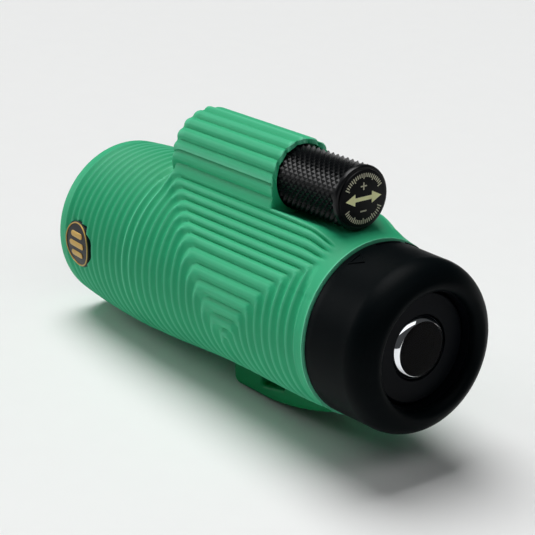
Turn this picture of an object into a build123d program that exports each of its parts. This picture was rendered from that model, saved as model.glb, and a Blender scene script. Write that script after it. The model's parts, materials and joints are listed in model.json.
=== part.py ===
from build123d import *
import os
from math import atan2, cos, degrees, pi, radians, sin, sqrt

# A compact rubber-armoured monocular: one straight roof-prism barrel with a focus tunnel along its top.
# Frame, in millimetres: the origin is the mouth of the tripod socket in the foot's flat underside,
# +Y runs along the optical axis from the eye towards the objective, and +Z points up to the focus knob.

# ---- driving dimensions ----
AXIS_Z = 28.0              # optical axis above the foot's underside
FRONT_Y = 67.7             # objective rim of the armour
REAR_Y = -40.0             # rear end of the armour, where the eyecup starts
BARREL_R = 22.9            # outside of the armoured barrel along its rear half
ARMOUR_T = 2.9             # rubber over the barrel there
SWELL_R = 24.6             # the barrel is fullest in front of the tunnel
SWELL_Y = 37.5
REAR_R = 22.3              # armour at its two ends
RIM_R = 23.0
SHELL_R = BARREL_R - ARMOUR_T
SHELL_T = 1.8              # wall of the moulded shell

KNOB_Z = AXIS_Z + 31.5     # focus screw axis
HUMP_R = 9.9               # half-round top of the focus tunnel, outside the rubber
HUMP_REAR_Y = -12.7
HUMP_FRONT_Y = 32.0
HUMP_T = 2.1               # rubber over the tunnel
SHOULDER_X = 10.2          # where the tunnel's upright side meets the sloping flank
SHOULDER_H = 25.6          # that corner above the optical axis
SHOULDER_REAR_Y = -36.5    # rear end of the two shoulders beside the knob
CRADLE_R = 8.8             # hollow that the knob lies in

FOOT_FRONT_Y = 7.2
FOOT_FLAT_REAR_Y = -9.0    # rear end of the flat underside, before it ramps up
FOOT_REAR_Y = -35.0
FOOT_HALF_W = 8.0
SLOT_FRONT_Y = -6.0        # strap slot through the foot
SLOT_REAR_Y = -15.5
SLOT_FLOOR_Z = 2.7
SLOT_ROOF_Z = 7.0
SOCKET_R = 3.2             # 1/4-20 camera thread, as a plain hole
SOCKET_DEPTH = 6.0
INSERT_R = 4.6             # brass bush that holds the thread
INSERT_LENGTH = SOCKET_DEPTH + 1.0

KNOB_R = 8.15
KNOB_END_Y = -35.4
KNOB_FRONT_Y = -10.9
SCREW_R = 2.5
FIT = 0.05                 # radial clearance of a running fit
GAP = 0.3                  # clearance between pieces that only pass each other

CUP_R = 21.9
CUP_END_Y = -60.5          # lip of the eyecup, twisted down
CUP_MOUTH_R = 14.7
CUP_TRAVEL = 7.0
CUP_TURN = 110.0           # degrees of twist for the full travel
CAM_TUBE_R = 14.2          # fixed tube with the helical grooves
GROOVE_DEPTH = 1.0
PIN_R = 0.9
EYE_LENS_R = 8.3
EYE_END_Y = -56.3          # rear face of the eyepiece

OBJECTIVE_R = 16.0         # clear aperture 32 mm
HOOD_R = 17.6              # inside of the rubber hood in front of the objective
HOOD_DEPTH = 2.0
FOCUS_CELL_Y = 10.0        # centre of the focusing lens at mid focus

BADGE_Y = FRONT_Y - 11.0   # round badge on the left of the objective end
BADGE_R = 6.6
BADGE_T = 1.2
BADGE_REAR_R = 24.3        # its face leans with the barrel's taper
BADGE_FRONT_R = 23.45


# ---- shared shapes ----
def rod(radius, y0, y1, x=0.0, z=AXIS_Z):
    """A cylinder along Y."""
    return Pos(x, (y0 + y1) / 2, z) * Rot(90, 0, 0) * Cylinder(radius, y1 - y0)


def tube(outer, inner, y0, y1, x=0.0, z=AXIS_Z):
    return rod(outer, y0, y1, x, z) - rod(inner, y0 - 1, y1 + 1, x, z)


def upright(radius, z0, z1, x=0.0, y=0.0):
    """A cylinder along Z."""
    return Pos(x, y, (z0 + z1) / 2) * Cylinder(radius, z1 - z0)


def block(x0, x1, y0, y1, z0, z1):
    centre = Pos((x0 + x1) / 2, (y0 + y1) / 2, (z0 + z1) / 2)
    return centre * Box(x1 - x0, y1 - y0, z1 - z0)


def turned(*outline, z=AXIS_Z):
    """A solid of revolution about the line at height z, from (radius, y) points."""
    profile = make_face(Polyline(*outline, close=True))
    return Pos(0, 0, z) * revolve(profile, Axis.Y)


def along_y(section, y0, y1):
    """Extrude a section drawn in X and Z."""
    return Pos(0, y1, 0) * extrude(Plane.XZ * section, y1 - y0)


def across_x(points, half_width):
    """A plate with a side outline of (y, z) points, centred on X = 0."""
    outline = make_face(Polyline(*points, close=True))
    return extrude(Plane.YZ * outline, half_width, both=True)


def lens(radius, y0, y1, bulge_rear, bulge_front, z=AXIS_Z):
    """A lens of edge thickness y1 - y0; a positive bulge stands out of the edge plane."""
    edges = [Line((0, y0 - bulge_rear), (0, y1 + bulge_front)), Line((radius, y0), (radius, y1))]
    for edge_y, apex_y in ((y0, y0 - bulge_rear), (y1, y1 + bulge_front)):
        depth = apex_y - edge_y
        if abs(depth) < 0.01:
            edges.append(Line((0, edge_y), (radius, edge_y)))
        else:
            sphere_r = (radius ** 2 + depth ** 2) / (2 * abs(depth))
            side = 1 if depth > 0 else -1
            half = radius / 2
            middle_y = apex_y - side * (sphere_r - sqrt(sphere_r ** 2 - half ** 2))
            edges.append(ThreePointArc((0, apex_y), (half, middle_y), (radius, edge_y)))
    return Pos(0, 0, z) * revolve(make_face(edges), Axis.Y)


def around(shape, count, start=0.0):
    """Copies of a shape, evenly turned about the optical axis."""
    pivot = Pos(0, 0, AXIS_Z)
    return [pivot * Rot(0, start + i * 360 / count, 0) * pivot.inverse() * shape for i in range(count)]


def fused(shapes):
    total = shapes[0]
    for shape in shapes[1:]:
        total = total + shape
    return total


def tangent_point(x, h, radius):
    """Where the line from (x, h) touches the barrel circle, on its lower side."""
    reach = atan2(h, x) - atan2(sqrt(x * x + h * h - radius * radius), radius)
    return radius * cos(reach), radius * sin(reach)


def pear_section(radius, shoulder_x, shoulder_h, hump_r):
    """Barrel circle, sloping flanks and a half-round tunnel over them, about the optical axis."""
    flank_x, flank_h = tangent_point(shoulder_x, shoulder_h, radius)
    rise = KNOB_Z - AXIS_Z
    left = Polyline((-hump_r, rise), (-shoulder_x, shoulder_h), (-flank_x, flank_h))
    base = Line((-flank_x, flank_h), (flank_x, flank_h))
    right = Polyline((flank_x, flank_h), (shoulder_x, shoulder_h), (hump_r, rise))
    top = ThreePointArc((hump_r, rise), (0, rise + hump_r), (-hump_r, rise))
    upper = make_face(left.edges() + base.edges() + right.edges() + top.edges())
    return Pos(0, AXIS_Z) * (upper + Circle(radius))


def shoulder_section():
    """The flanks up to the shoulders, without the tunnel."""
    flank_x, flank_h = tangent_point(SHOULDER_X, SHOULDER_H, BARREL_R)
    outline = [(-SHOULDER_X, SHOULDER_H), (-flank_x, flank_h), (flank_x, flank_h), (SHOULDER_X, SHOULDER_H)]
    return Pos(0, AXIS_Z) * make_face(Polyline(*outline, close=True))


def barrel_form():
    """The outside of the rubber barrel: straight behind, swollen in front, rounded at the rim."""
    rim_round = 1.4
    back = Polyline((0, FRONT_Y), (0, REAR_Y), (REAR_R, REAR_Y), (BARREL_R, REAR_Y + 8), (BARREL_R, 0))
    swell = Spline([(BARREL_R, 0), (SWELL_R, SWELL_Y), (RIM_R, FRONT_Y - rim_round)],
                   tangents=[(0, 1), (-0.12, 1)])
    rim = RadiusArc((RIM_R, FRONT_Y - rim_round), (RIM_R - rim_round, FRONT_Y), rim_round)
    front = Line((RIM_R - rim_round, FRONT_Y), (0, FRONT_Y))
    profile = make_face(back.edges() + swell.edges() + rim.edges() + front.edges())
    return Pos(0, 0, AXIS_Z) * revolve(profile, Axis.Y)


# ---- body: shell, rubber, foot ----
SHELL_REAR_Y = REAR_Y + 2.5
SHELL_FRONT_Y = FRONT_Y - HOOD_DEPTH
BORE_R = SHELL_R - SHELL_T
TUNNEL_R = HUMP_R - HUMP_T
TUNNEL_REAR_Y = HUMP_REAR_Y + HUMP_T
TUNNEL_FRONT_Y = HUMP_FRONT_Y - HUMP_T
CAVITY_R = 6.2
CAVITY_REAR_Y = TUNNEL_REAR_Y + 3.4
CAVITY_FRONT_Y = TUNNEL_FRONT_Y - 4.0
ARM_HALF_W = 2.6
ROD_Z = AXIS_Z - 15.6
ROD_R = 1.0
BUSH_R = 4.6
FRONT_BEARING_R = 3.6
NECK_HALF_W = 6.0          # root of the foot, through the rubber
NECK_REAR_Y = -5.0
NECK_FRONT_Y = 5.5
SPIGOT_R = 16.0            # eyepiece spigot inside the shell's rear ring
REAR_RING_FRONT_Y = -31.5
O_RING_T = 0.7


def tunnel_outer():
    section = pear_section(SHELL_R, SHOULDER_X - HUMP_T, SHOULDER_H, TUNNEL_R)
    tunnel = along_y(section, TUNNEL_REAR_Y, TUNNEL_FRONT_Y)
    front_edges = tunnel.edges().filter_by(Plane.XZ).group_by(Axis.Y)[-1]
    return chamfer([e for e in front_edges if e.center().Z > AXIS_Z + SHELL_R], 2.5)


def foot_neck():
    return block(-NECK_HALF_W, NECK_HALF_W, NECK_REAR_Y, NECK_FRONT_Y, 0, AXIS_Z - 15)


def body_shell():
    shell = rod(SHELL_R, SHELL_REAR_Y, SHELL_FRONT_Y) + tunnel_outer()
    shell = shell - rod(BORE_R, SHELL_REAR_Y - 1, SHELL_FRONT_Y + 1)
    shell = shell - rod(CAVITY_R, CAVITY_REAR_Y, CAVITY_FRONT_Y, z=KNOB_Z)
    arm_half_length = 7.5
    arm_slot = block(-ARM_HALF_W - GAP, ARM_HALF_W + GAP, FOCUS_CELL_Y - arm_half_length,
                     FOCUS_CELL_Y + arm_half_length, AXIS_Z + 10, KNOB_Z)
    shell = shell - arm_slot
    shell = shell - rod(BUSH_R, TUNNEL_REAR_Y - 1, CAVITY_REAR_Y + 1, z=KNOB_Z)
    shell = shell - rod(FRONT_BEARING_R, CAVITY_FRONT_Y - 1, TUNNEL_FRONT_Y + 1, z=KNOB_Z)
    rod_lugs = [block(-2.5, 2.5, y, y + 2.5, AXIS_Z - BORE_R - 0.6, ROD_Z + 2.0) for y in (0.5, 18.5)]
    shell = shell + fused(rod_lugs)
    shell = shell - rod(ROD_R, 0, 22, z=ROD_Z)
    shell = shell + tube(BORE_R + 0.1, SPIGOT_R, SHELL_REAR_Y, REAR_RING_FRONT_Y)
    return shell - eyepiece_o_ring() - fused(screw_set(FLANGE_SCREW))


def guide_rod():
    return rod(ROD_R, 0.5, 21.0, z=ROD_Z)


def badge_layer(inner, outer, outline):
    """A skin that follows the barrel's taper on its left side, cut to an outline in Y and Z."""
    rear_y = BADGE_Y - BADGE_R - 1
    front_y = BADGE_Y + BADGE_R + 1
    skin = turned((BADGE_REAR_R + inner, rear_y), (BADGE_REAR_R + outer, rear_y),
                  (BADGE_FRONT_R + outer, front_y), (BADGE_FRONT_R + inner, front_y))
    return skin & Pos(-BARREL_R - 5, BADGE_Y, AXIS_Z) * extrude(Plane.YZ * outline, 12)


def rubber_armour():
    hump_section = pear_section(BARREL_R - 0.05, SHOULDER_X, SHOULDER_H, HUMP_R)
    hump = along_y(hump_section, HUMP_REAR_Y, HUMP_FRONT_Y)
    front_edges = hump.edges().filter_by(Plane.XZ).group_by(Axis.Y)[-1]
    hump = chamfer([e for e in front_edges if e.center().Z > AXIS_Z + BARREL_R], 2.0)
    shoulders = along_y(shoulder_section(), SHOULDER_REAR_Y, HUMP_REAR_Y)
    rear_edges = shoulders.edges().group_by(Axis.Y)[0]
    shoulders = chamfer([e for e in rear_edges if e.center().Z > AXIS_Z + BARREL_R - 4], 2.2)
    shoulders = shoulders - rod(CRADLE_R, SHOULDER_REAR_Y - 1, HUMP_REAR_Y, z=KNOB_Z)
    armour = barrel_form() + hump + shoulders
    armour = armour - rod(SHELL_R, REAR_Y - 1, SHELL_FRONT_Y) - tunnel_outer()
    armour = armour - rod(HOOD_R, SHELL_FRONT_Y - 1, FRONT_Y + 1)
    armour = armour - rod(KNOB_R + GAP, HUMP_REAR_Y - 1, TUNNEL_REAR_Y, z=KNOB_Z)
    armour = armour - foot_neck()
    slot_cut = block(-FOOT_HALF_W - 4, FOOT_HALF_W + 4, SLOT_REAR_Y, SLOT_FRONT_Y, SLOT_FLOOR_Z, SLOT_ROOF_Z)
    armour = armour - slot_cut
    return armour - badge_layer(-BADGE_T, 2, Circle(BADGE_R))


def foot_block():
    """The ramped foot under the rear of the barrel, with its root through the rubber."""
    edge = 1.2
    side = [(FOOT_FRONT_Y, AXIS_Z - 15), (FOOT_FRONT_Y, edge), (FOOT_FRONT_Y - edge, 0),
            (FOOT_FLAT_REAR_Y, 0), (FOOT_REAR_Y, AXIS_Z - BARREL_R + 0.6), (FOOT_REAR_Y, AXIS_Z - 15)]
    foot = across_x(side, FOOT_HALF_W) - barrel_form()
    lower_edges = foot.edges().filter_by(Axis.Y).sort_by(Axis.Z)[:2]
    foot = chamfer(lower_edges, 0.8)
    foot = foot + (foot_neck() - rod(SHELL_R, NECK_REAR_Y - 1, NECK_FRONT_Y + 1))
    slot = block(-20, 20, SLOT_REAR_Y, SLOT_FRONT_Y, SLOT_FLOOR_Z, SLOT_ROOF_Z)
    return foot - slot - upright(INSERT_R, -1, INSERT_LENGTH)


def tripod_insert():
    return upright(INSERT_R, 0, INSERT_LENGTH) - upright(SOCKET_R, -1, SOCKET_DEPTH)


def side_badge():
    """A round tablet bent to the barrel, set flush into the rubber."""
    return badge_layer(-BADGE_T, 0, Circle(BADGE_R))


def badge_emblem():
    """A raised rim and three bars: a generic mark."""
    rim = Circle(BADGE_R - 0.2) - Circle(BADGE_R - 0.7)
    bars = [Pos(0, h) * Rectangle(6.0, 0.9) for h in (-2.2, 0.0, 2.2)]
    return badge_layer(0, 0.2, rim + fused(bars))


# ---- objective ----
CELL_REAR_Y = FRONT_Y - 21.0
CELL_FRONT_Y = FRONT_Y - 4.2
SEAT_Y = FRONT_Y - 14.2    # rear seat of the objective doublet
O_RING_R = 0.75


def objective_cell():
    lens_r = OBJECTIVE_R + 0.8
    outline = [(OBJECTIVE_R - 0.6, CELL_REAR_Y), (BORE_R, CELL_REAR_Y), (BORE_R, CELL_FRONT_Y),
               (lens_r, CELL_FRONT_Y), (lens_r, SEAT_Y), (OBJECTIVE_R - 0.6, SEAT_Y)]
    groove_y = CELL_REAR_Y + 5.0
    return turned(*outline) - (rod(BORE_R + 1, groove_y, groove_y + 2 * O_RING_R)
                               - rod(BORE_R - 1.1, groove_y - 1, groove_y + 3))


def objective_o_ring():
    groove_y = CELL_REAR_Y + 5.0
    return tube(BORE_R, BORE_R - 1.1, groove_y, groove_y + 2 * O_RING_R)


def objective_flint_lens():
    return lens(OBJECTIVE_R + 0.8, SEAT_Y, SEAT_Y + 3.4, 0.0, -1.5)


def objective_crown_lens():
    return lens(OBJECTIVE_R + 0.8, SEAT_Y + 3.4, SEAT_Y + 7.0, 1.5, 1.6)


def objective_retaining_ring():
    clear_of_dome = 0.2
    return tube(OBJECTIVE_R + 0.8, OBJECTIVE_R, SEAT_Y + 7.0 + clear_of_dome, CELL_FRONT_Y + 0.4)


def light_baffles():
    """Blackened knife-edge rings in a thin sleeve behind the objective."""
    rings = [tube(BORE_R, 15.4 - 0.12 * step, 25 + step, 26.0 + step) for step in (0.0, 9.0, 18.0)]
    sleeve = tube(BORE_R, BORE_R - 0.6, 25, 44)
    return sleeve + fused(rings)


# ---- prism group ----
CAGE_REAR_Y = -29.0
CAGE_FRONT_Y = -1.0
PRISM_HALF_W = 8.6
PRISM_HALF_H = 9.4


def front_prism():
    """The half-penta prism: flat entrance face, one steep face and a slanted exit face."""
    low = AXIS_Z - PRISM_HALF_H
    high = AXIS_Z + PRISM_HALF_H
    return across_x([(-2.0, low), (-2.0, high), (-15.2, high), (-8.4, low + 2.0)], PRISM_HALF_W)


def roof_prism():
    """The Schmidt prism, with its two roof faces meeting along the top."""
    low = AXIS_Z - 9.0
    high = AXIS_Z + PRISM_HALF_H
    body = across_x([(-27.0, low), (-27.0, high), (-16.2, high), (-9.2, low)], PRISM_HALF_W)
    for side in (-1, 1):
        corner = Pos(side * PRISM_HALF_W, -20, high) * Rot(0, side * 45, 0)
        body = body - corner * Box(20, 40, 6.2)
    return body


def prism_cage():
    """A cylinder with an open-topped pocket for the prisms and a light path through it."""
    rear_y = CAGE_REAR_Y + 2.0
    front_y = CAGE_FRONT_Y - 1.0
    pocket = block(-PRISM_HALF_W, PRISM_HALF_W, rear_y, front_y, AXIS_Z - PRISM_HALF_H, AXIS_Z + 20)
    light_path = rod(8.0, CAGE_REAR_Y - 1, CAGE_FRONT_Y + 1)
    return rod(BORE_R, CAGE_REAR_Y, CAGE_FRONT_Y) - pocket - light_path - fused(screw_set(CAGE_SCREW))


def prism_clip():
    """A sprung steel strip over the two prisms, bent down at its ends."""
    top_z = AXIS_Z + PRISM_HALF_H
    strip = block(-3, 3, CAGE_REAR_Y + 3.0, CAGE_FRONT_Y - 2.0, top_z, top_z + 0.5)
    wings = block(-PRISM_HALF_W, PRISM_HALF_W, -18, -13, top_z, top_z + 0.5)
    return strip + wings


CAGE_SCREW = {"circle": 14.6, "head_r": 1.5, "head": 1.2, "shank_r": 0.8, "length": 4.0, "y": CAGE_FRONT_Y,
              "side": -1, "count": 3, "start": 30.0}
FLANGE_SCREW = {"circle": 17.6, "head_r": 1.4, "head": 1.0, "shank_r": 0.8, "length": 6.4, "y": REAR_Y + 0.2,
                "side": 1, "count": 3, "start": 90.0}


def screw_set(kind):
    """Small pan-head screws on a circle about the optical axis, heads outwards."""
    y = kind["y"]
    side = kind["side"]
    head = sorted((y, y + side * kind["head"]))
    shank = sorted((y, y + side * kind["length"]))
    z = AXIS_Z + kind["circle"]
    screw = rod(kind["head_r"], *head, z=z) + rod(kind["shank_r"], *shank, z=z)
    return around(screw, kind["count"], kind["start"])


def with_drive(screws, kind):
    """Cut a straight drive slot into each head."""
    y = kind["y"]
    half = 0.45
    z = AXIS_Z + kind["circle"]
    cut = block(-2, 2, y - half, y + half, z - 0.2, z + 0.2)
    cuts = around(cut, kind["count"], kind["start"])
    return [screw - slot for screw, slot in zip(screws, cuts)]


# ---- eyepiece ----
LENS_BARREL_R = 12.6
FLANGE_R = SHELL_R
STOP_Y = CAGE_REAR_Y - 1.6


def field_stop():
    return tube(LENS_BARREL_R - 1.4, 6.0, STOP_Y, STOP_Y + 1.0)


def eyepiece_barrel():
    """The inner lens tube, closed behind by a step that the bezel screws over."""
    return tube(LENS_BARREL_R, LENS_BARREL_R - 1.4, EYE_END_Y + 2.2, STOP_Y + 1.0)


def field_lens():
    return lens(LENS_BARREL_R - 1.4, -36.6, -34.2, 0.0, 1.6)


def eyepiece_spacer():
    clear_of_dome = 0.25
    return tube(LENS_BARREL_R - 1.4, LENS_BARREL_R - 2.4, -44.0 + clear_of_dome, -36.6)


def eye_doublet():
    return lens(LENS_BARREL_R - 1.4, -49.0, -44.0, 1.0, 1.2)


def eye_lens():
    return lens(EYE_LENS_R + 0.5, EYE_END_Y + 0.8, EYE_END_Y + 3.6, 0.5, 0.8)


def eyepiece_bezel():
    """The ring that holds the eye lens and closes the eyepiece at the eye."""
    lens_r = EYE_LENS_R + 0.5
    outline = [(EYE_LENS_R, EYE_END_Y), (CAM_TUBE_R - 0.8, EYE_END_Y), (CAM_TUBE_R - 0.2, EYE_END_Y + 0.6),
               (CAM_TUBE_R - 0.2, EYE_END_Y + 2.2), (LENS_BARREL_R - 1.4, EYE_END_Y + 2.2),
               (LENS_BARREL_R - 1.4, EYE_END_Y + 4.6), (lens_r, EYE_END_Y + 4.6),
               (lens_r, EYE_END_Y + 0.7), (EYE_LENS_R, EYE_END_Y + 0.7)]
    return turned(*outline)


KEY_Y = -42.6              # centre of the guide ring, cup twisted down
KEY_HALF_L = 1.2
KEY_HALF_W = 1.2
KEY_ANGLE = 55.0
PIN_Y = -45.2              # cam pins, cup twisted down
PIN_ANGLE = 20.0
GROOVE_W = 2 * PIN_R + 0.3


def cam_groove(pin_angle):
    """A helical groove for one cam pin, a little longer than its travel at both ends."""
    spare = 0.045
    pitch = CUP_TRAVEL * 360 / CUP_TURN
    path = Helix(pitch, CUP_TRAVEL * (1 + 2 * spare), CAM_TUBE_R)
    section = Plane(path @ 0, x_dir=(1, 0, 0), z_dir=path % 0) * Rectangle(2 * GROOVE_DEPTH, GROOVE_W)
    groove = sweep(section, path=path, is_frenet=True)
    rearward = Plane((0, PIN_Y + spare * CUP_TRAVEL, 0), x_dir=(0, 0, 1), z_dir=(0, -1, 0))
    start_angle = pin_angle + spare * CUP_TURN
    return Pos(0, 0, AXIS_Z) * Rot(0, start_angle, 0) * rearward.location * groove


def eyepiece_tube():
    """The fixed tube behind the shell: flange, helical grooves for the cup, straight keyways for its ring."""
    outline = [(LENS_BARREL_R, EYE_END_Y + 2.2), (CAM_TUBE_R, EYE_END_Y + 2.2), (CAM_TUBE_R, REAR_Y),
               (FLANGE_R, REAR_Y), (FLANGE_R, SHELL_REAR_Y), (SPIGOT_R, SHELL_REAR_Y), (SPIGOT_R, STOP_Y),
               (LENS_BARREL_R, STOP_Y)]
    body = turned(*outline)
    body = body - cam_groove(PIN_ANGLE) - cam_groove(PIN_ANGLE + 180)
    keyway = block(-KEY_HALF_W - 0.15, KEY_HALF_W + 0.15, KEY_Y - CUP_TRAVEL - 2.0, REAR_Y,
                   AXIS_Z + CAM_TUBE_R - GROOVE_DEPTH, AXIS_Z + CAM_TUBE_R + 1)
    for cut in around(keyway, 2, KEY_ANGLE):
        body = body - cut
    return body - fused(screw_set(FLANGE_SCREW))


def eyepiece_o_ring():
    """Seals the spigot against the shell's rear ring."""
    return tube(SPIGOT_R + O_RING_T, SPIGOT_R, SHELL_REAR_Y, SHELL_REAR_Y + O_RING_T)


# ---- eyecup ----
RING_R = 16.0
CORE_R = 18.6


def eyecup_guide_ring():
    """A ring that slides on the tube without turning, and carries the cup."""
    ring = tube(RING_R, CAM_TUBE_R + FIT, KEY_Y - KEY_HALF_L, KEY_Y + KEY_HALF_L)
    key = block(-KEY_HALF_W, KEY_HALF_W, KEY_Y - KEY_HALF_L, KEY_Y + KEY_HALF_L,
                AXIS_Z + CAM_TUBE_R - GROOVE_DEPTH + 0.15, AXIS_Z + CAM_TUBE_R + 1)
    return fused([ring] + around(key, 2, KEY_ANGLE))


def eyecup_core():
    """The rigid sleeve inside the rubber cup."""
    sleeve_r = CAM_TUBE_R + GAP
    pocket_y = KEY_Y - KEY_HALF_L - 0.1
    outline = [(sleeve_r, CUP_END_Y + 2.6), (CORE_R - 2.0, CUP_END_Y + 2.6), (CORE_R, CUP_END_Y + 5.5),
               (CORE_R, REAR_Y - 0.6), (RING_R + FIT, REAR_Y - 0.6), (RING_R + FIT, pocket_y),
               (sleeve_r, pocket_y)]
    holes = fused(cam_pin_pair(CAM_TUBE_R - 1, CORE_R + 1))
    return turned(*outline) - holes - snap_ring_blank(RING_R - 1)


def cam_pin_pair(inner, outer):
    pin = Pos(0, PIN_Y, AXIS_Z + (inner + outer) / 2) * Cylinder(PIN_R, outer - inner)
    return around(pin, 2, PIN_ANGLE)


def eyecup_cam_pins():
    return cam_pin_pair(CAM_TUBE_R - GROOVE_DEPTH + 0.15, CORE_R - 0.1)


def snap_ring_blank(inner):
    return tube(RING_R + 0.7, inner, REAR_Y - 1.2, REAR_Y - 0.8)


def eyecup_snap_ring():
    """A thin ring in the core's mouth that keeps the guide ring in."""
    return snap_ring_blank(RING_R - 0.4)


def eyecup_rubber():
    """The soft cup: straight side, broad round shoulder and a rolled lip round the mouth."""
    mouth_r = CUP_MOUTH_R
    lip_r = (mouth_r + 17.6) / 2
    shoulder_y = CUP_END_Y + 7.0
    front_y = REAR_Y - 0.4
    core_end_y = CUP_END_Y + 2.6
    outer = Line((CUP_R, front_y), (CUP_R - 0.2, shoulder_y))
    shoulder = ThreePointArc((CUP_R - 0.2, shoulder_y), (20.3, CUP_END_Y + 2.2), (lip_r + 1.4, CUP_END_Y))
    lip = ThreePointArc((lip_r + 1.4, CUP_END_Y), (lip_r - 0.6, CUP_END_Y + 0.15), (mouth_r, CUP_END_Y + 1.6))
    inside = Polyline((mouth_r, CUP_END_Y + 1.6), (mouth_r, core_end_y), (CORE_R - 2.0, core_end_y),
                      (CORE_R, CUP_END_Y + 5.5), (CORE_R, front_y), (CUP_R, front_y))
    profile = make_face(outer.edges() + shoulder.edges() + lip.edges() + inside.edges())
    return Pos(0, 0, AXIS_Z) * revolve(profile, Axis.Y)


# ---- focus drive ----
HUB_R = 5.4
NUT_R = 5.4
NUT_HALF = 4.5
CELL_HALF = 4.0
CELL_R = BORE_R - GAP


def knob_bush():
    return tube(BUSH_R, 3.0 + FIT, TUNNEL_REAR_Y, CAVITY_REAR_Y, z=KNOB_Z)


def front_screw_bearing():
    return tube(FRONT_BEARING_R, 2.0 + FIT, CAVITY_FRONT_Y, TUNNEL_FRONT_Y, z=KNOB_Z)


def focus_screw():
    journal = rod(3.0, KNOB_FRONT_Y - 4.0, CAVITY_REAR_Y + 0.2, z=KNOB_Z)
    thread = rod(SCREW_R, CAVITY_REAR_Y, CAVITY_FRONT_Y - GAP, z=KNOB_Z)
    nose = rod(2.0, CAVITY_FRONT_Y - 1, TUNNEL_FRONT_Y - 0.6, z=KNOB_Z)
    tail = rod(2.0, KNOB_END_Y + 4.0, KNOB_FRONT_Y - 4.0, z=KNOB_Z)
    return journal + thread + nose + tail - rod(0.8, KNOB_END_Y + 3.0, KNOB_END_Y + 9.0, z=KNOB_Z)


def friction_washer():
    return tube(4.2, 3.0, KNOB_FRONT_Y, TUNNEL_REAR_Y - 0.02, z=KNOB_Z)


def knob_hub():
    """The knob's metal core, pinned on the screw's tail."""
    hub = rod(HUB_R, KNOB_END_Y + 2.0, KNOB_FRONT_Y, z=KNOB_Z)
    hub = hub - rod(3.0, KNOB_FRONT_Y - 4.0, KNOB_FRONT_Y + 1, z=KNOB_Z)
    hub = hub - rod(2.0, KNOB_END_Y + 4.0, KNOB_FRONT_Y, z=KNOB_Z)
    hub = hub - rod(0.8, KNOB_END_Y + 1.0, KNOB_END_Y + 5.0, z=KNOB_Z)
    return hub - rod(2.2, KNOB_END_Y + 1.9, KNOB_END_Y + 3.2, z=KNOB_Z)


def knob_screw():
    """Holds the hub on the screw, hidden under the badge."""
    head = rod(2.2, KNOB_END_Y + 2.0, KNOB_END_Y + 3.2, z=KNOB_Z)
    drive = block(-1.8, 1.8, KNOB_END_Y + 1.9, KNOB_END_Y + 2.5, KNOB_Z - 0.25, KNOB_Z + 0.25)
    return head - drive + rod(0.8, KNOB_END_Y + 3.2, KNOB_END_Y + 8.6, z=KNOB_Z)


def knob_grip():
    """The grip sleeve round the hub, at the outside size of its knurl."""
    grip = tube(KNOB_R, HUB_R, KNOB_END_Y + 0.6, KNOB_FRONT_Y, z=KNOB_Z)
    grip = grip - rod(KNOB_R - 1.0, KNOB_END_Y, KNOB_END_Y + 2.0, z=KNOB_Z)
    rear_edge = grip.edges().filter_by(GeomType.CIRCLE).group_by(Axis.Y)[0]
    return chamfer([e for e in rear_edge if e.radius > KNOB_R - 0.1], 0.5)


def knob_badge():
    return rod(KNOB_R - 1.0, KNOB_END_Y, KNOB_END_Y + 2.0, z=KNOB_Z)


def focus_nut():
    return tube(NUT_R, SCREW_R + FIT, FOCUS_CELL_Y - NUT_HALF, FOCUS_CELL_Y + NUT_HALF, z=KNOB_Z)


def focus_arm():
    """Reaches from the nut through the shell's slot to the lens cell."""
    arm = block(-ARM_HALF_W, ARM_HALF_W, FOCUS_CELL_Y - CELL_HALF, FOCUS_CELL_Y + CELL_HALF,
                AXIS_Z + 14.0, KNOB_Z - 3)
    return arm - rod(NUT_R, FOCUS_CELL_Y - 10, FOCUS_CELL_Y + 10, z=KNOB_Z) - rod(
        CELL_R, FOCUS_CELL_Y - 10, FOCUS_CELL_Y + 10)


def focus_lens_cell():
    y0 = FOCUS_CELL_Y - CELL_HALF
    y1 = FOCUS_CELL_Y + CELL_HALF
    outline = [(13.0, y0), (CELL_R, y0), (CELL_R, y1), (14.0, y1), (14.0, y0 + 2.0), (13.0, y0 + 2.0)]
    cell = turned(*outline)
    return cell - rod(ROD_R + FIT, y0 - 1, y1 + 1, z=ROD_Z)


def focus_lens():
    return lens(14.0, FOCUS_CELL_Y - CELL_HALF + 2.0, FOCUS_CELL_Y + 1.2, -0.9, -0.9)


def focus_lens_ring():
    return tube(14.0, 13.0, FOCUS_CELL_Y + 1.2, FOCUS_CELL_Y + CELL_HALF)


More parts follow.
